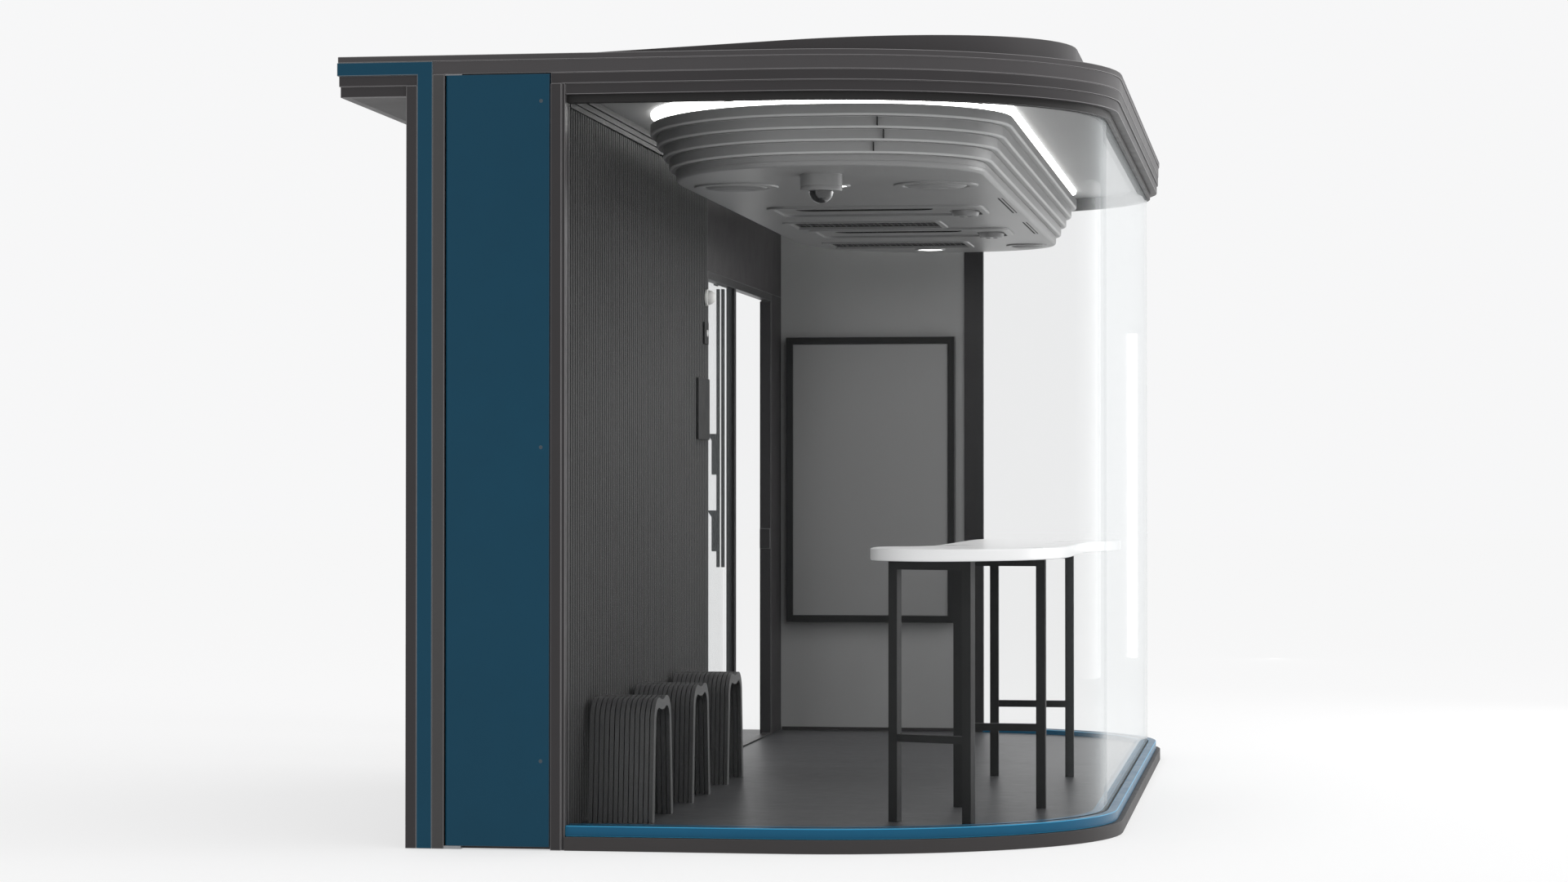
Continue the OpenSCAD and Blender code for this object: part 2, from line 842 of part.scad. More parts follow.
// ---- furniture --------------------------------------------------------------------------------------
table_z = floor_z + table_h;
table_gap = 18;
table_x = x_side - glass_in - glass_t - table_gap;
table_y = -y_end + 189;
leg_pairs = [[[-735, 398], [-450, 283]], [[-559, 1029], [-237, 1017]], [[-547, 2513], [-224, 2513]]];

// Guide points of the top's edge, from the near lobe round to the far one: in from the glass, then along.
top_guide = [[-830, 510], [-810, 170], [-560, 0], [-310, 200], [-120, 570], [-118, 1370], [-118, 2070],
    [-10, 2240], [0, 2720], [-130, 2800], [-510, 2750], [-638, 2630], [-634, 1870], [-634, 1070],
    [-650, 720], [-810, 670]];

// Closed smooth curve that touches the middle of each side of the guide.
function smooth(g, n) = [for (i = [0:len(g) - 1], j = [0:n - 1])
    let (t = j / n, a = g[i], b = g[(i + 1) % len(g)], c = g[(i + 2) % len(g)])
    (1 - t) * (1 - t) * (a + b) / 2 + 2 * t * (1 - t) * b + t * t * (b + c) / 2];

module table_top() {
    color("white") translate([table_x, table_y]) slab(table_z - top_t, table_z)
        polygon(smooth(top_guide, 5));
}

stretcher_z = 298;
stretcher_h = 28;

module leg_pair(a, b) {
    angle = atan2(b[1] - a[1], b[0] - a[0]);
    span = norm(b - a);
    translate([a[0], a[1], floor_z]) rotate(angle) {
        for (x = [0, span]) translate([x - tube / 2, -tube / 2, 0]) cube([tube, tube, table_h - top_t]);
        translate([tube / 2, -tube / 2 + 4, stretcher_z]) cube([span - tube, tube - 8, stretcher_h]);
        translate([tube / 2, -tube / 2, table_h - top_t - tube]) cube([span - tube, tube, tube]);
    }
}

module table_frame() {
    color("#232323") translate([table_x, table_y]) for (p = leg_pairs) leg_pair(p[0], p[1]);
}

slat_pitch = 18.9;
slat_t = 15;
stool_gap = 268;
stool_x = x_wall + stool_gap;
stool_band = 38;
stool_y0 = -y_end + 369;
stool_lean = 36;
shoulder = 95;
dip = 10;
dip_r = 190;
rod_r = 7;
rod_in = 34;
rod_z = 150;

// Outline of a slat set in by d: legs that lean in and round shoulders.
module stool_outline(d) {
    top = stool_h - shoulder;
    flat = stool_l - 2 * (stool_lean + shoulder);
    polygon([[d, -d], [stool_l - d, -d], [stool_l - stool_lean - d, top], [stool_lean + d, top]]);
    for (y = [stool_lean + shoulder, stool_l - stool_lean - shoulder])
        translate([y, top]) circle(r = shoulder - d);
    translate([stool_lean + shoulder, top]) square([flat, shoulder - d]);
}

// A slat is a band of even width whose seat dips along one arc.
module stool_profile() {
    difference() {
        stool_outline(0);
        translate([stool_l / 2, stool_h + dip_r - dip]) circle(r = dip_r);
        difference() {
            stool_outline(stool_band);
            translate([stool_l / 2, stool_h + dip_r - dip]) circle(r = dip_r + stool_band);
        }
    }
}

module stool() {
    for (i = [0:slats - 1])
        translate([stool_x - slat_t - i * slat_pitch, 0, floor_z]) rotate([90, 0, 90])
            linear_extrude(slat_t) stool_profile();
    for (p = [[rod_in, rod_z], [stool_l - rod_in, rod_z], [stool_l / 2, stool_h - dip - stool_band / 2]])
        for (i = [1:slats - 1])
            translate([stool_x - i * slat_pitch, p[0], floor_z + p[1]]) rotate([0, 90, 0])
                cylinder(r = rod_r, h = slat_pitch - slat_t);
}

module stools() {
    color("#3a3a3a") for (i = [0:2]) translate([0, stool_y0 + i * stool_pitch, 0]) stool();
}

// ---- devices on the end of the ribbed wall ----------------------------------------------------------
button_y = y_jamb - 60;
button_z = 1997;
button_r = 15;
box_t = 12;
plate_t = 9;
button_t = 8;
button_x = x_wall + 4;
sensor_z = 2158;

// From the bottom up: a control box, the call button's plate and a round sensor.
module wall_devices() {
    color("#2a2a2a") block(x_wall + fit, x_wall + box_t, y_jamb - 300, y_jamb - 12, 1520, 1792);
    color("#333333") difference() {
        block(x_wall + fit, x_wall + plate_t, button_y - 60, button_y + 40, button_z - 49, button_z + 50);
        translate([x_wall + 1.5, button_y, button_z]) rotate([0, 90, 0])
            cylinder(r = button_r + fit, h = plate_t);
    }
    color("white") translate([x_wall + fit, y_jamb - 50, sensor_z]) rotate([0, 90, 0]) {
        cylinder(r = 38, h = 12);
        translate([0, 0, 12]) intersection() {
            sphere(r = 33);
            translate([0, 0, 20]) cube([80, 80, 40], center = true);
        }
    }
}

module call_button() {
    color("gainsboro") translate([button_x, button_y, button_z]) rotate([0, 90, 0])
        cylinder(r = button_r, h = button_t);
}

base_slab();
base_sill();
floor_deck();
glass_shoe();
glass_near();
glass_side();
glass_far();
glass_joints();
head_channel();
ceiling_panel();
roof_joists();
roof_deck();
roof_cap();
fascia_band();
fascia_mid();
fascia_low();
canopy_soffit();
corner_posts();
portal_band();
portal_strip();
end_post();
service_door();
service_hinges();
cam_lock_low();
cam_lock_mid();
cam_lock_top();
street_panels();
cabinet_end();
wall_backing();
ribbed_wall();
air_unit();
air_fan();
power_board();
door_header();
door_frame();
sidelight_glass();
leaf_glass();
leaf_rail();
leaf_hanger();
side_panel();
end_wall();
mullion();
display_frame();
display_screen();
ceiling_unit();
cove_light();
air_louvre_near();
air_louvre_far();
air_grilles();
nozzle_near();
nozzle_far();
camera_base();
camera_ball();
downlights();
speakers();
table_top();
table_frame();
stools();
wall_devices();
call_button();
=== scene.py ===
import json
from math import radians

import bmesh
import bpy
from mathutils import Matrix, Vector


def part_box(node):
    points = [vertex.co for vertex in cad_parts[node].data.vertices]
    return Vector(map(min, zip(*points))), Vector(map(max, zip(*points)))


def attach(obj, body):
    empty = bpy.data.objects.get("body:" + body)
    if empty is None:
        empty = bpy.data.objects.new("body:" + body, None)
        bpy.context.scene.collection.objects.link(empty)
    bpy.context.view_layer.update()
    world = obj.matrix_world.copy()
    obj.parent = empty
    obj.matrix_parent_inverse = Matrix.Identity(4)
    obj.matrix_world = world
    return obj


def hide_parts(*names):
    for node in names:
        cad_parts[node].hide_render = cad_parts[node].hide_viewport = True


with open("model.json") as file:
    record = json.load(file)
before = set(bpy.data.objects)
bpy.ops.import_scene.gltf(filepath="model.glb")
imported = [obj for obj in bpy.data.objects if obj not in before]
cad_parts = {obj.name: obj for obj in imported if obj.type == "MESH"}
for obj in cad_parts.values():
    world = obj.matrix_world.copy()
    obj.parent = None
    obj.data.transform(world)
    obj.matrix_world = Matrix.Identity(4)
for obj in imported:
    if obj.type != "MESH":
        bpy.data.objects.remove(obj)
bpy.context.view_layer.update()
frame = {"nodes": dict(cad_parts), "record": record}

# ---- studio ------------------------------------------------------------------------------------------------
# A low, long view along the cabin from its near end, a pale floor, and soft light that comes mostly from the
# glass side and from behind, so that the near face stays in shade.
bpy.ops.object.camera_add(location=(2.058, -15.05, 1.3), rotation=(radians(90.788), 0, radians(8.391)))
camera = bpy.context.object
camera.data.lens = 80
camera.data.sensor_width = 36
camera.data.clip_end = 400
bpy.context.scene.camera = camera
bpy.context.scene.view_settings.view_transform = "Standard"

world = bpy.data.worlds.new("studio")
bpy.context.scene.world = world
world.use_nodes = True
world.node_tree.nodes["Background"].inputs["Color"].default_value = (0.93, 0.93, 0.935, 1)
world.node_tree.nodes["Background"].inputs["Strength"].default_value = 1.0


def studio_light(name, place, target, size, power):
    bpy.ops.object.light_add(type="AREA", location=place)
    light = bpy.context.object
    light.name = name
    light.rotation_euler = (Vector(target) - Vector(place)).to_track_quat("-Z", "Y").to_euler()
    light.data.shape = "RECTANGLE"
    light.data.size, light.data.size_y = size
    light.data.energy = power
    light.visible_camera = False


studio_light("key_right", (8.5, -1.0, 6.0), (0.3, 0, 1.2), (3.0, 3.0), 200)
studio_light("tall_softbox", (6.6, 3.85, 1.65), (1.28, -2.1, 1.2), (4.6, 3.0), 130)
studio_light("strip_far", (1.88, 12.0, 1.2), (1.34, 0.4, 1.2), (0.05, 2.6), 0.8)
studio_light("room_glow", (0.28, 0.0, 2.44), (0.28, 0.0, 0.0), (0.9, 3.6), 20)


# ---- base --------------------------------------------------------------------------------------------------
# The cabin stands on a dark slab, cast in one piece with a smooth face and eased edges. Everything else is
# fixed to it.
class Level:
    """A number that varies over a surface. Arithmetic on it adds Math nodes."""

    def __init__(self, finish, socket):
        self.finish, self.socket = finish, socket

    def math(self, operation, *values):
        return self.finish.add("ShaderNodeMath", {"operation": operation}, values)

    def __add__(self, other):
        return self.math("ADD", self, other)

    def __sub__(self, other):
        return self.math("SUBTRACT", self, other)

    def __rsub__(self, other):
        return self.math("SUBTRACT", other, self)

    def __mul__(self, other):
        return self.math("MULTIPLY", self, other)

    def __truediv__(self, other):
        return self.math("DIVIDE", self, other)

    def __pow__(self, other):
        return self.math("POWER", self, other)

    def __lt__(self, other):
        return self.math("LESS_THAN", self, other)

    def __mod__(self, other):
        return self.math("FLOORED_MODULO", self, other)

    __radd__, __rmul__ = __add__, __mul__


class Finish:
    """A procedural material on one Principled shader, with patterns in the object's own metres."""

    def __init__(self, name, colour, roughness, **constants):
        self.material = bpy.data.materials.new(name)
        self.material.use_nodes = True
        self.tree = self.material.node_tree
        self.shader = self.tree.nodes["Principled BSDF"]
        self.colour = tuple(self.linear(c) for c in colour) + (1.0,)
        self.material.diffuse_color = self.colour
        self.shader.inputs["Base Color"].default_value = self.colour
        self.shader.inputs["Roughness"].default_value = roughness
        for key, value in constants.items():
            self.shader.inputs[key.replace("_", " ")].default_value = value
        self.place = self.add("ShaderNodeTexCoord", out="Object")

    @staticmethod
    def linear(c):
        c = c / 255
        return c / 12.92 if c <= 0.04045 else ((c + 0.055) / 1.055) ** 2.4

    def add(self, kind, settings=None, values=(), out=0):
        node = self.tree.nodes.new(kind)
        for key, value in (settings or {}).items():
            setattr(node, key, value)
        for key, value in values.items() if isinstance(values, dict) else enumerate(values):
            if isinstance(value, Level):
                self.tree.links.new(value.socket, node.inputs[key])
            else:
                node.inputs[key].default_value = value
        return Level(self, node.outputs[out])

    def feed(self, socket, level):
        self.tree.links.new(level.socket, self.shader.inputs[socket])

    def stretched(self, scale):
        return self.add("ShaderNodeMapping", None, {"Vector": self.place, "Scale": scale})

    def along(self, axis):
        """How far a point lies along X, Y or Z."""
        return self.add("ShaderNodeSeparateXYZ", None, (self.place,), axis)

    def noise(self, scale, detail=3.0, where=None):
        values = {"Vector": where or self.place, "Scale": scale, "Detail": detail}
        return self.add("ShaderNodeTexNoise", None, values, "Fac")

    def spread(self, level, low, high):
        """Maps 0..1 on low..high."""
        return level * (high - low) + low

    def tint(self, factor, dark, light):
        """A colour between two shades of this finish, given as brightness factors."""
        return self.mix(factor, self.shade(dark), self.shade(light))

    def shade(self, k):
        return tuple(min(1.0, c * k) for c in self.colour[:3]) + (1.0,)

    def mix(self, factor, a, b):
        node = self.tree.nodes.new("ShaderNodeMix")
        node.data_type = "RGBA"
        for socket, value in ((node.inputs["Factor"], factor), (node.inputs[6], a), (node.inputs[7], b)):
            if isinstance(value, Level):
                self.tree.links.new(value.socket, socket)
            else:
                socket.default_value = value
        return Level(self, node.outputs[2])

    def bump(self, height, depth, strength=1.0):
        values = {"Height": height, "Distance": depth, "Strength": strength}
        self.feed("Normal", self.add("ShaderNodeBump", None, values, "Normal"))
        return self


def sprayed(name, colour, roughness=0.42, grain=900.0, **constants):
    """Sprayed paint: a little cloudy, with orange peel and a few dull patches where dust has settled."""
    paint = Finish(name, colour, roughness, **{"Specular_IOR_Level": 0.14, **constants})
    clouds = paint.noise(0.9, 4.0)
    dust = paint.noise(9.0, 6.0)
    paint.feed("Base Color", paint.tint(clouds * 0.7 + dust * 0.3, 0.84, 1.16))
    paint.feed("Roughness", paint.spread(dust, roughness - 0.07, roughness + 0.09))
    return paint.bump(paint.noise(grain, 2.0), 0.0002, 0.35)


def eased(node, name, finish, edge=None, width=0.0015, segments=2, smooth=32):
    """A finished skin over a CAD node: its faces joined up, its sharp edges rounded and, given an edge finish,
    painted paler as a highlight.
    """
    bpy.ops.object.select_all(action="DESELECT")
    piece = bpy.data.objects.new(name, frame["nodes"][node].data.copy())
    bpy.context.scene.collection.objects.link(piece)
    bpy.context.view_layer.objects.active = piece
    piece.select_set(True)
    piece.data.materials.clear()
    piece.data.materials.append(finish.material)
    if edge:
        piece.data.materials.append(edge.material)
    for face in piece.data.polygons:
        face.material_index = 0
    bpy.ops.object.mode_set(mode="EDIT")
    bpy.ops.mesh.select_all(action="SELECT")
    bpy.ops.mesh.remove_doubles(threshold=0.00002)
    bpy.ops.mesh.dissolve_limited(angle_limit=radians(0.6))
    bpy.ops.object.mode_set(mode="OBJECT")
    if width:
        bevel = piece.modifiers.new("rounding", "BEVEL")
        bevel.width, bevel.segments, bevel.limit_method = width, segments, "ANGLE"
        bevel.angle_limit, bevel.use_clamp_overlap = radians(35), True
        if edge:
            bevel.material = 1
        bpy.ops.object.modifier_apply(modifier="rounding")
    return smoothed(piece, smooth, node)


def smoothed(piece, angle, *nodes, body=None, slot=None):
    """Smooth shading that keeps the sharp edges, then the piece's place in the frame."""
    bpy.ops.object.select_all(action="DESELECT")
    bpy.context.view_layer.objects.active = piece
    piece.select_set(True)
    bpy.ops.object.shade_smooth_by_angle(angle=radians(angle))
    even = piece.modifiers.new("even", "WEIGHTED_NORMAL")
    even.keep_sharp = True
    bpy.ops.object.modifier_apply(modifier="even")
    if nodes:
        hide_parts(*nodes)
    groups = frame["record"]["behaviour"]["bodies"]
    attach(piece, body or next(b for b, held in groups.items() if nodes[0] in held))
    return piece


# The pale coat on rounded edges, here and in the edge finishes below, is a painted highlight: the light that the
# edges catch.
pale_edge_highlight = sprayed("pale edge highlight", (120, 118, 119), 0.38)
base_grey = sprayed("base grey", (62, 60, 60), 0.5, 500.0)
eased("base_slab", "base_casting", base_grey, pale_edge_highlight, 0.002)

# ---- sill --------------------------------------------------------------------------------------------------
# A blue painted metal sill follows the glass, bent round both corners. The panes stand in a groove along it,
# in a black rubber gasket.
sill_blue = sprayed("sill blue", (10, 88, 122), 0.3, 1200.0, Specular_IOR_Level=0.2)
# The lighter blue on the sill's rounded edges is a painted highlight.
blue_edge_highlight = sprayed("blue edge highlight", (60, 150, 190), 0.3)
eased("base_sill", "sill_rail", sill_blue, blue_edge_highlight, 0.003, 3)

gasket_black = Finish("gasket rubber", (20, 20, 20), 0.75)
gasket_black.feed("Roughness", gasket_black.spread(gasket_black.noise(60.0), 0.6, 0.85))
gasket_black.bump(gasket_black.noise(700.0), 0.0002, 0.4)
eased("glass_shoe", "sill_gasket", gasket_black, None, 0.0006, 1)

# ---- floor -------------------------------------------------------------------------------------------------
# Dark grey planks laid across the cabin on the slab. Each has its own tone and a fine grain, with a narrow
# open joint beside it.
planks = Finish("dark planks", (62, 62, 64), 0.45)
plank_w, joint_w = 0.145, 0.0022
across = planks.along("Y")
row = across.math("FLOOR", across / plank_w)
edge_gap = (across % plank_w) < joint_w
tone = planks.add("ShaderNodeTexWhiteNoise", {"noise_dimensions": "1D"}, {"W": row}, "Value")
grain = planks.noise(1.0, 8.0, planks.stretched((3.0, 130.0, 1.0)))
pores = planks.noise(1.0, 3.0, planks.stretched((14.0, 700.0, 1.0)))
streak = planks.add("ShaderNodeMapRange", None, {"Value": pores, "From Min": 0.38, "From Max": 0.62})
figure = grain * 0.35 + streak * 0.4 + tone * 0.25
boards = planks.tint(figure, 0.4, 1.7)
planks.feed("Base Color", planks.mix(edge_gap, boards, (0.006, 0.006, 0.006, 1)))
planks.feed("Roughness", planks.spread(streak, 0.3, 0.5))
planks.bump(grain * 0.4 + pores * 0.3 - edge_gap, 0.0012, 0.5)
eased("floor_deck", "floor_planks", planks, None, 0.001, 1)

# ---- glass -------------------------------------------------------------------------------------------------
# Clear toughened glass: a flat pane along the side and two bent panes round the corners, each one sheet. Clear
# silicone fills the upright joints between them.
def glazing(name, reflection):
    """Thin clear glass: it passes most light, and mirrors more of it the flatter it is looked at."""
    glass = Finish(name, (235, 242, 244), 0.015, IOR=1.5, Specular_IOR_Level=0.9)
    through = glass.tree.nodes.new("ShaderNodeBsdfTransparent")
    through.inputs["Color"].default_value = (0.972, 0.973, 0.973, 1)
    sheen = glass.add("ShaderNodeLayerWeight", None, {"Blend": 0.5}, "Facing") ** 5 * reflection
    film = glass.noise(2.2, 5.0) * 0.006
    both = glass.tree.nodes.new("ShaderNodeMixShader")
    for start, end in (((sheen + film).socket, both.inputs["Fac"]), (through.outputs[0], both.inputs[1]),
                       (glass.shader.outputs[0], both.inputs[2]),
                       (both.outputs[0], glass.tree.nodes["Material Output"].inputs["Surface"])):
        glass.tree.links.new(start, end)
    return glass


clear_glass = glazing("clear glass", 0.6)
for pane in ("glass_near", "glass_side", "glass_far"):
    eased(pane, "pane_" + pane[6:], clear_glass, None, 0)
clear_seal = glazing("clear silicone", 0.1)
eased("glass_joints", "pane_joints", clear_seal, None, 0)

# ---- roof edge ---------------------------------------------------------------------------------------------
# The roof's edge is a stack of sprayed metal tiers under a deck, and a low cap that rises to the glass side.
channel_dark = sprayed("channel dark", (46, 45, 45), 0.4)
tier_dark = sprayed("tier dark", (56, 54, 55), 0.4)
tier_grey = sprayed("tier grey", (72, 70, 71), 0.4)
deck_grey = sprayed("deck grey", (70, 68, 69), 0.42)
eased("head_channel", "glass_head", channel_dark, None, 0.001)
eased("fascia_low", "low_tier", tier_dark, pale_edge_highlight, 0.0022)
eased("fascia_mid", "middle_tier", tier_dark, pale_edge_highlight, 0.0022)
eased("fascia_band", "band_tier", tier_grey, pale_edge_highlight, 0.0022)
eased("roof_deck", "roof_lid", deck_grey, pale_edge_highlight, 0.0022)
eased("roof_cap", "roof_cap_skin", deck_grey, pale_edge_highlight, 0.004, 3)

soffit_grey = sprayed("soffit grey", (88, 87, 87), 0.6)
ceiling_grey = sprayed("ceiling grey", (150, 150, 150), 0.55)
eased("canopy_soffit", "canopy_lining", soffit_grey, None, 0.001)
eased("ceiling_panel", "ceiling_lining", ceiling_grey, None, 0.001)
aluminium = Finish("mill aluminium", (178, 180, 182), 0.38, Metallic=1.0)
drawn = aluminium.noise(1.0, 3.0, aluminium.stretched((4.0, 500.0, 500.0)))
aluminium.feed("Roughness", aluminium.spread(drawn, 0.28, 0.5))
eased("roof_joists", "roof_joist_set", aluminium, None, 0.001)

# ---- street end --------------------------------------------------------------------------------------------
# The near face's street end is a set of upright panels: a dark corner post, a blue band, a grey strip, the
# wide blue service door and a dark post that holds the glass. All are folded and sprayed sheet.
post_dark = sprayed("post dark", (56, 54, 55), 0.42)
panel_blue = sprayed("panel blue", (14, 62, 83), 0.36, 1200.0)
strip_grey = sprayed("strip grey", (70, 69, 69), 0.42)
# The paler blue-grey on the blue panels' rounded edges is a painted highlight.
panel_edge_highlight = sprayed("panel edge highlight", (104, 112, 118), 0.4)
eased("corner_posts", "corner_post_pair", post_dark, pale_edge_highlight, 0.002)
eased("portal_band", "blue_band", panel_blue, panel_edge_highlight, 0.002)
eased("portal_strip", "grey_strip", strip_grey, pale_edge_highlight, 0.002)
eased("end_post", "glass_post", post_dark, pale_edge_highlight, 0.002)
eased("service_door", "service_door_skin", panel_blue, panel_edge_highlight, 0.002)

lock_metal = Finish("lock face", (74, 84, 92), 0.3, Metallic=0.8)
lock_metal.feed("Roughness", lock_metal.spread(lock_metal.noise(160.0, 4.0), 0.22, 0.4))
for lock in ("cam_lock_low", "cam_lock_mid", "cam_lock_top"):
    eased(lock, lock + "_body", lock_metal, None, 0.0006)
steel = Finish("plain steel", (150, 151, 153), 0.4, Metallic=1.0)
brushed = steel.noise(1.0, 3.0, steel.stretched((500.0, 500.0, 6.0)))
steel.feed("Roughness", steel.spread(brushed, 0.3, 0.55))
eased("service_hinges", "door_pivots", steel, None, 0.0006)
street_dark = sprayed("street dark", (62, 60, 61), 0.45)
eased("street_panels", "street_panel_set", street_dark, pale_edge_highlight, 0.0025)
eased("cabinet_end", "cabinet_end_panel", street_dark, pale_edge_highlight, 0.002)

# ---- ribbed wall -------------------------------------------------------------------------------------------
# The cabin's inner wall is a dark ribbed board from floor to ceiling, fixed to a plain backing, under a cornice
# with two grooves. Painted shade darkens it towards the ceiling and paints its grooves near-black.
rib_grey = Finish("ribbed board", (72, 72, 72), 0.7, Specular_IOR_Level=0.15)
fibre = rib_grey.noise(1.0, 5.0, rib_grey.stretched((420.0, 420.0, 18.0)))
wear = rib_grey.noise(1.6, 4.0)
depth, height = rib_grey.along("X"), rib_grey.along("Z")
groove_shade_x = -0.5705
# Painted shade: the board darkens smoothly from 1.5 m up to 2.7 m, under the ceiling.
painted_ceiling_shade = rib_grey.add("ShaderNodeMapRange", {"interpolation_type": "SMOOTHSTEP"},
                      {"Value": height, "From Min": 1.5, "From Max": 2.7})
board_tone_and_shade = rib_grey.tint(fibre * 0.5 + wear * 0.5 - painted_ceiling_shade * 0.9, 0.75, 1.35)
# Painted shade: the faces behind the ribs' fronts, the grooves' floors, are near-black.
rib_grey.feed("Base Color", rib_grey.mix(depth < groove_shade_x, board_tone_and_shade, rib_grey.shade(0.12)))
rib_grey.feed("Roughness", rib_grey.spread(fibre, 0.6, 0.85))
rib_grey.bump(fibre, 0.0005, 0.5)
# The lighter grey on the rounded rib and cornice edges is a painted highlight.
rib_edge_highlight = sprayed("rib edge highlight", (84, 84, 84), 0.6)
eased("ribbed_wall", "ribbed_board", rib_grey, rib_edge_highlight, 0.0012, 1)
backing_dark = sprayed("backing dark", (48, 47, 48), 0.6)
eased("wall_backing", "board_backing", backing_dark, None, 0.001)


def block(name, low, high, finish, edge=None, width=0.002, segments=2):
    """A box between two corners with its edges rounded over."""
    bpy.ops.object.select_all(action="DESELECT")
    low, high = Vector(low), Vector(high)
    bpy.ops.mesh.primitive_cube_add(size=1, location=(low + high) / 2)
    piece = bpy.context.object
    piece.name, piece.scale = name, high - low
    bpy.ops.object.transform_apply(location=True, rotation=True, scale=True)
    piece.data.materials.append(finish.material)
    if edge:
        piece.data.materials.append(edge.material)
    bpy.ops.object.mode_set(mode="EDIT")
    bpy.ops.mesh.select_all(action="SELECT")
    bpy.ops.mesh.bevel(offset=width, segments=segments, material=1 if edge else -1)
    bpy.ops.object.mode_set(mode="OBJECT")
    return piece


def joined(name, parts):
    """One piece made of several parts that are fixed together."""
    bpy.ops.object.select_all(action="DESELECT")
    for part in parts:
        part.select_set(True)
    bpy.context.view_layer.objects.active = parts[0]
    bpy.ops.object.join()
    parts[0].name = name
    return parts[0]


wall_low, wall_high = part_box("ribbed_wall")
cornice = [
    block("rail", (wall_high.x + 0.0005, wall_low.y, z), (wall_high.x + out, wall_high.y - 0.002, z + tall),
          backing_dark, rib_edge_highlight, 0.0015)
    for z, out, tall in ((2.690, 0.010, 0.018), (2.709, 0.016, 0.020), (2.730, 0.024, 0.024))
]
smoothed(joined("wall_cornice", cornice), 32, body="cabin", slot="wall_backing")

# ---- service cabinet ---------------------------------------------------------------------------------------
# Behind the service door stand a white sheet-metal air unit with its moulded fan, and the case of the power
# board.
case_white = sprayed("case white", (186, 188, 188), 0.45)
eased("air_unit", "air_unit_case", case_white, None, 0.003, 2)
moulded_black = Finish("black moulding", (40, 40, 40), 0.5)
moulded_black.feed("Roughness", moulded_black.spread(moulded_black.noise(30.0, 5.0), 0.42, 0.62))
moulded_black.bump(moulded_black.noise(1400.0), 0.0001, 0.5)
eased("air_fan", "air_fan_wheel", moulded_black, None, 0.001)
eased("power_board", "power_board_case", case_white, None, 0.004, 2)

# ---- doorway -----------------------------------------------------------------------------------------------
# A black frame with a fixed side light and an open doorway. The sliding leaf is parked behind the side light
# and hangs from wheels on a track. Its leading rail carries two lipped grips.
anodised = Finish("black anodised", (44, 43, 44), 0.38, Metallic=0.6)
lines = anodised.noise(1.0, 3.0, anodised.stretched((600.0, 600.0, 4.0)))
anodised.feed("Base Color", anodised.tint(lines, 0.8, 1.25))
anodised.feed("Roughness", anodised.spread(lines, 0.3, 0.48))
# The paler grey on the rounded edges of the doorway, mullion and skirting is a painted highlight; the grille bars use
# it as their own grey.
anodised_grey_and_edge_highlight = sprayed("anodised grey and edge highlight", (92, 91, 92), 0.35)
lining_dark = sprayed("lining dark", (50, 48, 49), 0.5)
eased("door_frame", "doorway_frame", anodised, anodised_grey_and_edge_highlight, 0.0015)
eased("door_header", "doorway_header", lining_dark, anodised_grey_and_edge_highlight, 0.0015)
eased("side_panel", "doorway_side", lining_dark, anodised_grey_and_edge_highlight, 0.0015)
door_glass = glazing("door glass", 0.1)
eased("sidelight_glass", "side_light", door_glass, None, 0)
eased("leaf_glass", "leaf_pane", door_glass, None, 0)
eased("leaf_rail", "leaf_grips", anodised, anodised_grey_and_edge_highlight, 0.0015)
eased("leaf_hanger", "leaf_wheels", steel, None, 0.0008)

# ---- far wall ----------------------------------------------------------------------------------------------
# A plain painted grey panel that ends at a black anodised mullion beside the glass, with a dark skirting along
# its foot.
wall_grey = sprayed("wall grey", (146, 146, 146), 0.55, 700.0)
eased("end_wall", "far_wall", wall_grey, None, 0.001)
eased("mullion", "far_mullion", anodised, anodised_grey_and_edge_highlight, 0.0015)
foot_low, foot_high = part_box("end_wall")
skirting = block("wall_skirting", (foot_low.x + 0.06, foot_low.y - 0.009, 0.0655),
                 (foot_high.x, foot_low.y - 0.0005, 0.083), lining_dark, anodised_grey_and_edge_highlight, 0.0015)
smoothed(skirting, 32, body="cabin", slot="side_panel")

# ---- display -----------------------------------------------------------------------------------------------
# An upright display in a deep black frame, fixed to the wall, with a grey screen behind anti-glare glass that
# is faintly ruled by its rows.
frame_black = sprayed("frame black", (30, 30, 30), 0.4)
# The grey on the frame's rounded edges is a painted highlight.
frame_edge_highlight = sprayed("frame edge highlight", (72, 72, 72), 0.4)
eased("display_frame", "display_case", frame_black, frame_edge_highlight, 0.002)
screen = Finish("display glass", (128, 128, 128), 0.4, Specular_IOR_Level=0.3)
haze = screen.noise(0.7, 2.0)
rows = screen.noise(1.0, 1.0, screen.stretched((900.0, 1.0, 900.0)))
screen.feed("Base Color", screen.tint(haze * 0.7 + rows * 0.3, 0.85, 1.15))
screen.feed("Roughness", screen.spread(haze, 0.26, 0.36))
eased("display_screen", "display_face", screen, None, 0.001, 1)

# ---- ceiling unit ------------------------------------------------------------------------------------------
# A long grey moulding of five stepped tiers, each a shell with its seams, hangs under a recess with hidden
# lamps. Its flat underside holds two air outlets, a camera, lamps and speakers.
moulded_grey = Finish("grey moulding", (132, 132, 132), 0.38, Coat_Weight=0.15, Coat_Roughness=0.3)
soft = moulded_grey.noise(1.4, 4.0)
speck = moulded_grey.noise(260.0, 2.0)
moulded_grey.feed("Base Color", moulded_grey.tint(soft * 0.75 + speck * 0.25, 0.86, 1.14))
moulded_grey.feed("Roughness", moulded_grey.spread(soft, 0.3, 0.46))
moulded_grey.bump(moulded_grey.noise(1600.0), 0.0001, 0.4)
# The paler grey on each tier's rounded rims is a painted highlight.
lip_highlight_grey = sprayed("moulding lip highlight", (178, 178, 178), 0.35)
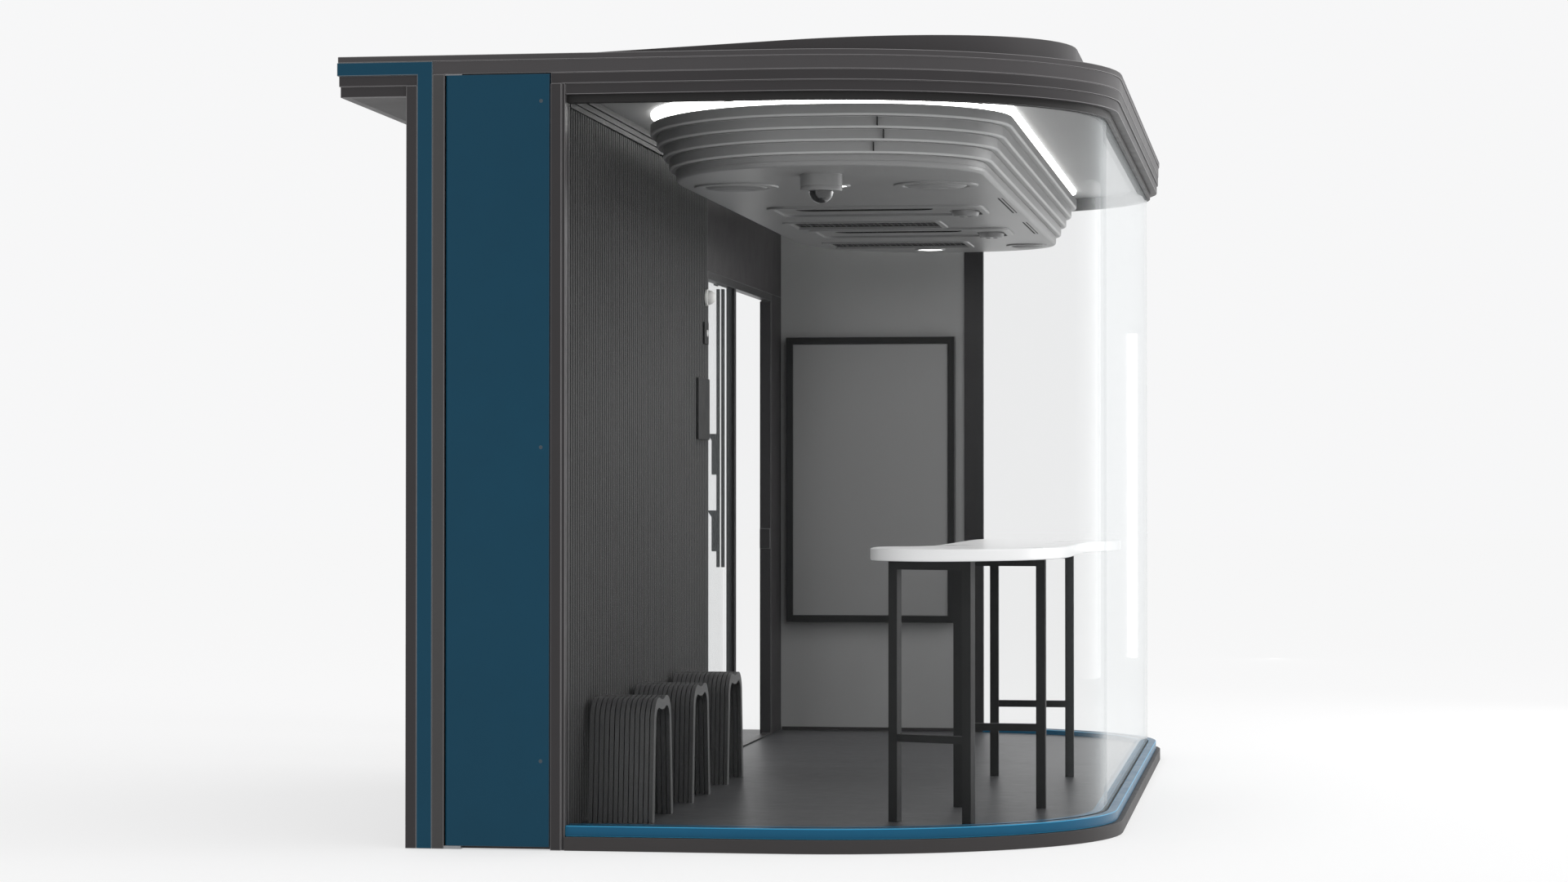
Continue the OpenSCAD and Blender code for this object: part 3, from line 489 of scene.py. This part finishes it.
# Near-black for the seams' dark joints, and painted shade in the slits and in the outlet slots' linings.
joint_dark_and_gap_shade = Finish("dark joint and gap shade", (16, 16, 16), 0.8)
joint_dark_and_gap_shade.feed("Roughness", joint_dark_and_gap_shade.spread(joint_dark_and_gap_shade.noise(40.0), 0.7, 0.9))

unit_x0, unit_x1, unit_half, unit_z = -0.340, 0.894, 2.370, 2.487
tier_h, tier_out, tiers = 0.044, 0.025, 5
left_round, right_round = (0.620, 0.780), (0.500, 0.460)


def sheet(name, low, high, corners, z):
    """A flat face with its corners rounded to ellipses. corners holds (side, radius across, radius along)."""
    bpy.ops.object.select_all(action="DESELECT")
    bpy.ops.mesh.primitive_plane_add(size=1, location=((low[0] + high[0]) / 2, (low[1] + high[1]) / 2, z))
    piece = bpy.context.object
    piece.name, piece.scale = name, (high[0] - low[0], high[1] - low[1], 1)
    bpy.ops.object.transform_apply(location=True, rotation=True, scale=True)
    for (side_x, side_y), a, b in corners:
        piece.scale = (1, a / b, 1)
        bpy.ops.object.transform_apply(location=False, rotation=False, scale=True)
        x = high[0] if side_x > 0 else low[0]
        ys = [y * a / b for s, y in ((-1, low[1]), (1, high[1])) if side_y in (s, 0)]
        bpy.ops.object.mode_set(mode="EDIT")
        bpy.ops.mesh.select_mode(type="VERT")
        bpy.ops.mesh.select_all(action="DESELECT")
        mesh = bmesh.from_edit_mesh(piece.data)
        for v in mesh.verts:
            v.select = abs(v.co.x - x) < 1e-4 and any(abs(v.co.y - y) < 1e-4 for y in ys)
        mesh.select_flush_mode()
        bmesh.update_edit_mesh(piece.data)
        bpy.ops.mesh.bevel(affect="VERTICES", offset=a, segments=28)
        bpy.ops.object.mode_set(mode="OBJECT")
        piece.scale = (1, b / a, 1)
        bpy.ops.object.transform_apply(location=False, rotation=False, scale=True)
    return piece


def raised(piece, height, finish, edge=None, low_round=0.0, high_round=0.0):
    """Extrudes a sheet upwards and rounds the rim of its lower and its upper face."""
    base = piece.data.vertices[0].co.z
    piece.data.materials.append(finish.material)
    if edge:
        piece.data.materials.append(edge.material)
    bpy.ops.object.mode_set(mode="EDIT")
    bpy.ops.mesh.select_all(action="SELECT")
    bpy.ops.mesh.extrude_region_move(TRANSFORM_OT_translate={"value": (0, 0, height)})
    for z, width in ((base, low_round), (base + height, high_round)):
        if width:
            bpy.ops.mesh.select_mode(type="EDGE")
            bpy.ops.mesh.select_all(action="DESELECT")
            mesh = bmesh.from_edit_mesh(piece.data)
            for e in mesh.edges:
                e.select = all(abs(v.co.z - z) < 1e-5 for v in e.verts)
            bmesh.update_edit_mesh(piece.data)
            bpy.ops.mesh.bevel(offset=width, segments=4, material=1 if edge else -1)
    bpy.ops.mesh.select_all(action="SELECT")
    bpy.ops.mesh.normals_make_consistent(inside=False)
    bpy.ops.object.mode_set(mode="OBJECT")
    return piece


def cut(piece, tools):
    """Cuts each tool's shape out of a piece and removes the tools."""
    for tool in tools:
        bpy.ops.object.select_all(action="DESELECT")
        bpy.context.view_layer.objects.active = piece
        piece.select_set(True)
        opening = piece.modifiers.new("opening", "BOOLEAN")
        opening.operation, opening.solver, opening.object = "DIFFERENCE", "EXACT", tool
        bpy.ops.object.modifier_apply(modifier="opening")
    for tool in tools:
        bpy.data.objects.remove(tool)
    return piece


slots = [(0.235, -0.330), (0.235, 0.950)]
slot_w, slot_d, slot_gap = 0.580, 0.090, 0.004
slot_corners = [((-1, 1), 0.07, 0.07), ((1, 1), 0.07, 0.07)]
nozzle_x, nozzle_dy, nozzle_hole = 0.655, 0.105, 0.068
grille_dy, grille_x0, grille_x1, grille_half = 0.810, -0.184, 0.464, 0.165
pan_t = 0.020


def unit_sheet(name, grow, z):
    """The unit's outline, larger all round by grow."""
    corners = [((side, 0), a + grow, b + grow) for side, (a, b) in ((-1, left_round), (1, right_round))]
    return sheet(name, (unit_x0 - grow, -unit_half - grow), (unit_x1 + grow, unit_half + grow), corners, z)


def slot_box(x, y, gap):
    """Two corners of an outlet's slot, larger all round by a gap."""
    return (x - slot_w / 2 - gap, y - slot_d / 2 - gap), (x + slot_w / 2 + gap, y + slot_d / 2 + gap)


def grille_box(y, gap):
    """Two corners of the grille that goes with the slot at y, larger all round by a gap."""
    return (grille_x0 - gap, y + grille_dy - grille_half - gap), (grille_x1 + gap, y + grille_dy + grille_half + gap)


pan = raised(unit_sheet("pan", 0, unit_z), pan_t, moulded_grey, None, 0.015)
openings = []
for x, y in slots:
    for name, (low, high), corners in (("slot", slot_box(x, y, slot_gap), slot_corners),
                                       ("grille", grille_box(y, 0), [])):
        openings.append(raised(sheet(name, low, high, corners, unit_z - 0.03), 0.06, joint_dark_and_gap_shade))
    bpy.ops.mesh.primitive_cylinder_add(vertices=64, radius=nozzle_hole, depth=0.08,
                                        location=(nozzle_x, y + nozzle_dy, unit_z))
    bpy.ops.object.transform_apply(location=True, rotation=True, scale=True)
    openings.append(bpy.context.object)
cut(pan, openings)
shells = [pan]
for k in range(tiers):
    z0 = unit_z + k * tier_h if k else unit_z + pan_t + 0.0005
    tier = raised(unit_sheet("tier", k * tier_out, z0), (k + 1) * tier_h + unit_z - z0, moulded_grey, lip_highlight_grey,
                  0.008 if k else 0.0, 0.003)
    shells.append(tier)
hollow = []
for x, y in slots:
    for (low, high), deep in ((((x - 0.30, y - 0.055), (x + 0.30, y + 0.055)), 0.045),
                              (((nozzle_x - 0.075, y + 0.03), (nozzle_x + 0.075, y + 0.18)), 0.045),
                              (grille_box(y, 0.002), 0.022)):
        hollow.append(raised(sheet("well", low, high, [], unit_z + 0.01), deep, joint_dark_and_gap_shade))
cut(shells[1], hollow)
smoothed(joined("ceiling_unit_shell", shells), 40, "ceiling_unit")

# Vertical butt joints in the tiers' sides, where the mouldings meet.
seams = []
for x, k in ((0.56, 2), (0.54, 3), (0.52, 1)):
    y, z = -unit_half - k * tier_out, unit_z + k * tier_h
    seams.append(block("seam", (x, y - 0.0006, z + 0.008), (x + 0.003, y + 0.02, z + tier_h - 0.004),
                       joint_dark_and_gap_shade, None, 0.0002, 1))
smoothed(joined("tier_seams", seams), 30, body="cabin", slot="ceiling_unit")

# Long slits beside each outlet let the room's air into the unit's sensors.
# Each slit is a near-black strip: painted shade standing for the open slit.
slits = []
for y0, y1 in ((-0.86, -0.10), (0.43, 1.13)):
    for x0, x1 in ((0.846, 0.853), (0.862, 0.866)):
        slits.append(block("slit", (x0, y0, unit_z - 0.0012), (x1, y1, unit_z + 0.01), joint_dark_and_gap_shade, None, 0.0004, 1))
smoothed(joined("unit_slits", slits), 30, body="cabin", slot="ceiling_unit")


def raised_frame(name, low, high, corners, z, drop, border, finish=moulded_grey, soft=0.8):
    """A border round an outlet, from z down by drop, soft at its lower outer rim."""
    rim = raised(sheet(name, low, high, corners, z - drop), drop, finish, None, drop * soft)
    inner = [(c, max(a - border, 0.005), max(b - border, 0.005)) for c, a, b in corners]
    inner_low, inner_high = (low[0] + border, low[1] + border), (high[0] - border, high[1] - border)
    return cut(rim, [raised(sheet("tool", inner_low, inner_high, inner, z - 0.05), 0.1, finish)])


def all_corners(radius):
    return [((s, t), radius, radius) for s in (-1, 1) for t in (-1, 1)]


# Each outlet has a raised soft border round its slot, a flap that turns in it, and a grille further along.
border_x0, border_x1, border_half = -0.215, 0.495, 0.195
flap_in = 0.018
for end, (x, y) in zip(("near", "far"), slots):
    g = y + grille_dy
    rim = raised_frame("rim", (x - 0.40, y - 0.24), (x + 0.52, y + 0.24), all_corners(0.09), unit_z, 0.010, 0.030)
    border = raised_frame("border", (border_x0, g - border_half), (border_x1, g + border_half), all_corners(0.03),
                          unit_z, 0.006, 0.026)
    # The slot's near-black lining is painted shade inside the opening.
    lining = raised_frame("lining", *slot_box(x, y, 0.0035), slot_corners, unit_z + 0.020, 0.019, 0.0025, joint_dark_and_gap_shade, 0)
    smoothed(joined("outlet_rim_" + end, [rim, border, lining]), 40, body="cabin", slot="ceiling_unit")
    flap = sheet("flap", (x - slot_w / 2 + flap_in, y - slot_d / 2),
                 (x + slot_w / 2 - flap_in, y + slot_d / 2 - flap_in),
                 [((-1, 1), 0.055, 0.055), ((1, 1), 0.055, 0.055)], unit_z + 0.008)
    smoothed(raised(flap, 0.005, moulded_grey, None, 0.001, 0.001), 40, "air_louvre_" + end)
    flap.name = "outlet_flap_" + end
    eased("nozzle_" + end, "outlet_nozzle_" + end, moulded_grey, None, 0.001, 2, 40)
eased("air_grilles", "outlet_grilles", moulded_black, None, 0.0008, 1)
mesh_bars = []
for x, y in slots:
    g = y + grille_dy
    bars = []
    for i in range(1, 24):
        along = i * 0.0265
        bars.append(((-0.178 + along, g - 0.160, 0.006), (-0.1765 + along, g + 0.160, 0.009)))
    for j in range(1, 9):
        along = j * 0.0366
        bars.append(((-0.180, g - 0.165 + along, 0.0065), (0.460, g - 0.1632 + along, 0.0095)))
    for (x0, y0, z0), (x1, y1, z1) in bars:
        mesh_bars.append(block("bar", (x0, y0, unit_z + z0), (x1, y1, unit_z + z1), anodised_grey_and_edge_highlight, None, 0.0004, 1))
smoothed(joined("grille_mesh", mesh_bars), 30, body="cabin", slot="air_grilles")

# A white diffuser in the recess over the unit glows all round.
glow = Finish("lamp diffuser", (250, 250, 248), 0.5, Emission_Strength=5.0)
glow.shader.inputs["Emission Color"].default_value = (1, 1, 0.985, 1)
glow.feed("Roughness", glow.spread(glow.noise(20.0), 0.45, 0.6))
eased("cove_light", "cove_diffuser", glow, None, 0.001, 1)
unit_top = unit_z + tiers * tier_h
skirt = raised(unit_sheet("skirt", 0.0225, unit_top + 0.001), 0.030, glow)
cut(skirt, [raised(unit_sheet("tool", 0.0190, unit_top - 0.02), 0.08, glow)])
smoothed(skirt, 40, body="cabin", slot="cove_light")


def turned(name, x, y, steps, finish, segments=96):
    """A round piece made from a disc at its top: each step gives a new radius and how far down it lies."""
    bpy.ops.object.select_all(action="DESELECT")
    radius, z = steps[0]
    bpy.ops.mesh.primitive_circle_add(vertices=segments, radius=radius, fill_type="NGON", location=(x, y, z))
    piece = bpy.context.object
    piece.name = name
    bpy.ops.object.transform_apply(location=True, rotation=True, scale=True)
    piece.data.materials.append(finish.material)
    bpy.ops.object.mode_set(mode="EDIT")
    bpy.ops.mesh.select_all(action="SELECT")
    for new_radius, new_z in steps[1:]:
        bpy.ops.mesh.extrude_region_move(TRANSFORM_OT_translate={"value": (0, 0, new_z - z)})
        k = new_radius / radius
        bpy.ops.transform.resize(value=(k, k, 1), center_override=(x, y, new_z))
        radius, z = new_radius, new_z
    bpy.ops.mesh.select_all(action="SELECT")
    bpy.ops.mesh.normals_make_consistent(inside=False)
    bpy.ops.object.mode_set(mode="OBJECT")
    return piece


def below_unit(profile):
    """Steps for a turned piece, from radii and drops below the unit's underside."""
    return [(radius, unit_z - drop) for radius, drop in profile]


# Round speakers: a raised ring, a groove and a crowned, perforated centre.
mesh_grey = Finish("speaker mesh", (128, 128, 128), 0.45)
dots = mesh_grey.add("ShaderNodeTexVoronoi", None,
                     {"Vector": mesh_grey.place, "Scale": 210.0, "Randomness": 0.0}, "Distance")
hole = dots < 0.3
mesh_grey.feed("Base Color", mesh_grey.tint(hole, 1.05, 0.35))
mesh_grey.bump(dots, 0.0006, 0.5)
ring_steps = ((1, 0), (1, 0.003), (0.985, 0.0065), (0.95, 0.0075), (0.80, 0.0075), (0.765, 0.005), (0.75, 0.003),
              (0.73, 0.003), (0.715, 0.007))
crown_part = 0.70
rings = []
for x, y, r in ((-0.121, -1.557, 0.166), (0.663, -1.534, 0.166), (0.753, 1.882, 0.098)):
    rings.append(turned("ring", x, y, below_unit((r * part, drop) for part, drop in ring_steps), moulded_grey))
    crown = [(r * crown_part, unit_z - 0.002)]
    for t in (0, 0.3, 0.55, 0.75, 0.9, 0.98):
        crown.append((r * crown_part * (1 - t * t) ** 0.5 + 0.001, unit_z - 0.006 - 0.012 * t))
    rings.append(turned("crown", x, y, crown, mesh_grey))
smoothed(joined("speaker_set", rings), 40, "speakers")

# Recessed lamps with a grey ring and a bright lens.
lens = Finish("lamp lens", (252, 252, 250), 0.4, Emission_Strength=3.0)
lens.shader.inputs["Emission Color"].default_value = (1, 1, 0.985, 1)
lens.feed("Roughness", lens.spread(lens.noise(30.0), 0.3, 0.5))
trim_steps = ((0.075, 0), (0.075, 0.003), (0.073, 0.006), (0.066, 0.006), (0.064, 0.002))
lens_steps = ((0.063, 0.0005), (0.063, 0.003), (0.05, 0.0045), (0.001, 0.005))
lamps = []
for x, y in ((0.255, -1.557), (0.260, 2.110)):
    lamps.append(turned("trim", x, y, below_unit(trim_steps), moulded_grey))
    lamps.append(turned("lens", x, y, below_unit(lens_steps), lens))
smoothed(joined("lamp_pair", lamps), 40, "downlights")

# The camera: a moulded drum with a joint near its lower rim, and a dark ball with its lens to one side.
drum_steps = ((0.080, 0), (0.080, 0.044), (0.0785, 0.045), (0.0785, 0.0465), (0.080, 0.0475), (0.080, 0.058),
              (0.076, 0.062), (0.050, 0.062), (0.048, 0.054))
drum = turned("camera_drum", 0.278, -2.020, below_unit(drum_steps), moulded_grey)
smoothed(drum, 40, "camera_base")
smoked = Finish("smoked dome", (34, 34, 35), 0.12, Coat_Weight=0.8, Coat_Roughness=0.05)
smoked.feed("Roughness", smoked.spread(smoked.noise(14.0), 0.08, 0.2))
eased("camera_ball", "camera_dome", smoked, None, 0.0008, 2, 40)

# ---- bar table ---------------------------------------------------------------------------------------------
# A white solid-surface top with soft edges, on three pairs of square-tube legs with stretchers. The tubes are
# welded and powder coated in black.
surface_white = Finish("solid surface", (243, 243, 243), 0.28, Coat_Weight=0.2, Coat_Roughness=0.15)
fleck = surface_white.noise(900.0, 1.0)
veil = surface_white.noise(2.0, 4.0)
surface_white.feed("Base Color", surface_white.tint(fleck * 0.25 + veil * 0.75, 0.93, 1.06))
surface_white.feed("Roughness", surface_white.spread(veil, 0.22, 0.36))
eased("table_top", "bar_top", surface_white, None, 0.006, 4, 50)
powder_black = Finish("black powder coat", (28, 28, 28), 0.48, Specular_IOR_Level=0.2)
powder = powder_black.noise(1100.0, 2.0)
powder_black.feed("Base Color", powder_black.tint(powder_black.noise(3.0, 4.0), 0.8, 1.25))
powder_black.feed("Roughness", powder_black.spread(powder, 0.4, 0.6))
powder_black.bump(powder, 0.0002, 0.6)
# The grey on the rounded edges of the legs and the wall devices is a painted highlight.
powder_edge_highlight = sprayed("powder edge highlight", (58, 58, 58), 0.45)
eased("table_frame", "bar_legs", powder_black, powder_edge_highlight, 0.0025)

# ---- stools ------------------------------------------------------------------------------------------------
# Three stools of bent flat steel slats side by side, with short rods between them, powder coated in grey. Each
# seat dips in its middle.
slat_grey = Finish("slat powder coat", (66, 66, 66), 0.5)
slat_grain = slat_grey.noise(1000.0, 2.0)
slat_grey.feed("Base Color", slat_grey.tint(slat_grey.noise(4.0, 4.0), 0.82, 1.2))
slat_grey.feed("Roughness", slat_grey.spread(slat_grain, 0.42, 0.6))
slat_grey.bump(slat_grain, 0.0002, 0.5)
# The paler grey on the slats' rounded edges is a painted highlight.
slat_edge_highlight = sprayed("slat edge highlight", (112, 112, 112), 0.42)
eased("stools", "slatted_stools", slat_grey, slat_edge_highlight, 0.0016, 2, 40)

# ---- wall devices ------------------------------------------------------------------------------------------
# On the wall beside the doorway are a moulded control box, a call plate with its button and a round white
# sensor.
device_black = sprayed("device black", (44, 44, 44), 0.4)
device_white = sprayed("device white", (225, 225, 222), 0.35)
devices = eased("wall_devices", "device_set", device_black, powder_edge_highlight, 0.002, 2, 40)
devices.data.materials.append(device_white.material)
sensor_foot_z = 2.1
for face in devices.data.polygons:
    if face.center.z > sensor_foot_z:
        face.material_index = 2
button_white = sprayed("button white", (214, 214, 212), 0.35)
eased("call_button", "call_button_cap", button_white, None, 0.0015, 3, 40)

# ---- ground ------------------------------------------------------------------------------------------------
# A plain pale floor, wide enough to reach the horizon from every side. It glows a little, so that it is as
# bright as the wall behind it.
bpy.ops.object.select_all(action="DESELECT")
bpy.ops.mesh.primitive_circle_add(vertices=128, radius=90, fill_type="NGON", location=(0, 0, -0.001))
ground = bpy.context.object
ground.name = "studio_floor"
pale_floor = Finish("pale floor", (169, 169, 169), 0.7, Specular_IOR_Level=0.0, Emission_Strength=0.56)
pale_floor.shader.inputs["Emission Color"].default_value = (1, 1, 1, 1)
pale_floor.feed("Roughness", pale_floor.spread(pale_floor.noise(0.5), 0.65, 0.8))
ground.data.materials.append(pale_floor.material)
